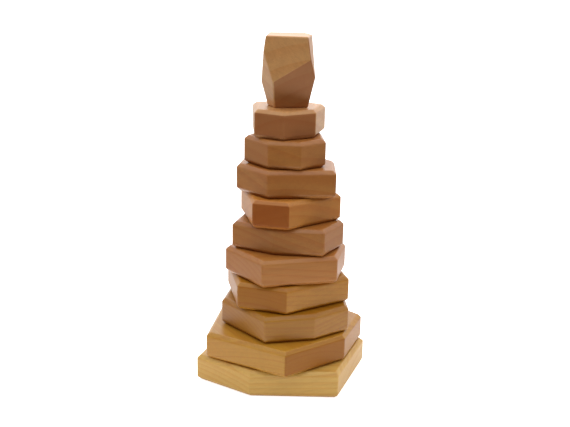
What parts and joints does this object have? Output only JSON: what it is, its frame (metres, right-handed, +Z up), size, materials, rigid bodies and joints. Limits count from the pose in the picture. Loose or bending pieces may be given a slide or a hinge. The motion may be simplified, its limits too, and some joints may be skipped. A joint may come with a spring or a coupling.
{
  "type": "giant tumbling tower",
  "caption": "Free-standing stacking and balancing game: flat polygon blocks of solid hardwood that narrow upwards, with a tall faceted block on top.",
  "frame": {"origin": "on the stacking axis, at the underside of the base block, where the tower stands on the ground", "axes": "+Z up along the stack, +X to the right and +Y away from someone who faces the tower"},
  "size_m": [0.2488, 0.2244, 0.5],
  "materials": {
    "hardwood_golden": "satin",
    "hardwood_brown": "satin",
    "hardwood_russet": "satin"
  },
  "bodies": {
    "base_block": {"base_block": "hardwood_golden"},
    "block_02": {"block_02": "hardwood_golden"},
    "block_03": {"block_03": "hardwood_brown"},
    "block_04": {"block_04": "hardwood_brown"},
    "block_05": {"block_05": "hardwood_brown"},
    "block_06": {"block_06": "hardwood_brown"},
    "block_07": {"block_07": "hardwood_russet"},
    "block_08": {"block_08": "hardwood_brown"},
    "block_09": {"block_09": "hardwood_brown"},
    "block_10": {"block_10": "hardwood_russet"},
    "top_block": {"top_block": "hardwood_brown"}
  },
  "joints": [
    {"name": "block_02_lift", "type": "slide", "parent": "base_block", "child": "block_02", "axis": [0, 0, 1], "range_m": [0, 0.06]},
    {"name": "block_03_lift", "type": "slide", "parent": "block_02", "child": "block_03", "axis": [0, 0, 1], "range_m": [0, 0.06]},
    {"name": "block_04_lift", "type": "slide", "parent": "block_03", "child": "block_04", "axis": [0, 0, 1], "range_m": [0, 0.06]},
    {"name": "block_05_lift", "type": "slide", "parent": "block_04", "child": "block_05", "axis": [0, 0, 1], "range_m": [0, 0.06]},
    {"name": "block_06_lift", "type": "slide", "parent": "block_05", "child": "block_06", "axis": [0, 0, 1], "range_m": [0, 0.06]},
    {"name": "block_07_lift", "type": "slide", "parent": "block_06", "child": "block_07", "axis": [0, 0, 1], "range_m": [0, 0.06]},
    {"name": "block_08_lift", "type": "slide", "parent": "block_07", "child": "block_08", "axis": [0, 0, 1], "range_m": [0, 0.06]},
    {"name": "block_09_lift", "type": "slide", "parent": "block_08", "child": "block_09", "axis": [0, 0, 1], "range_m": [0, 0.06]},
    {"name": "block_10_lift", "type": "slide", "parent": "block_09", "child": "block_10", "axis": [0, 0, 1], "range_m": [0, 0.06]},
    {"name": "top_block_lift", "type": "slide", "parent": "block_10", "child": "top_block", "axis": [0, 0, 1], "range_m": [0, 0.06]}
  ]
}
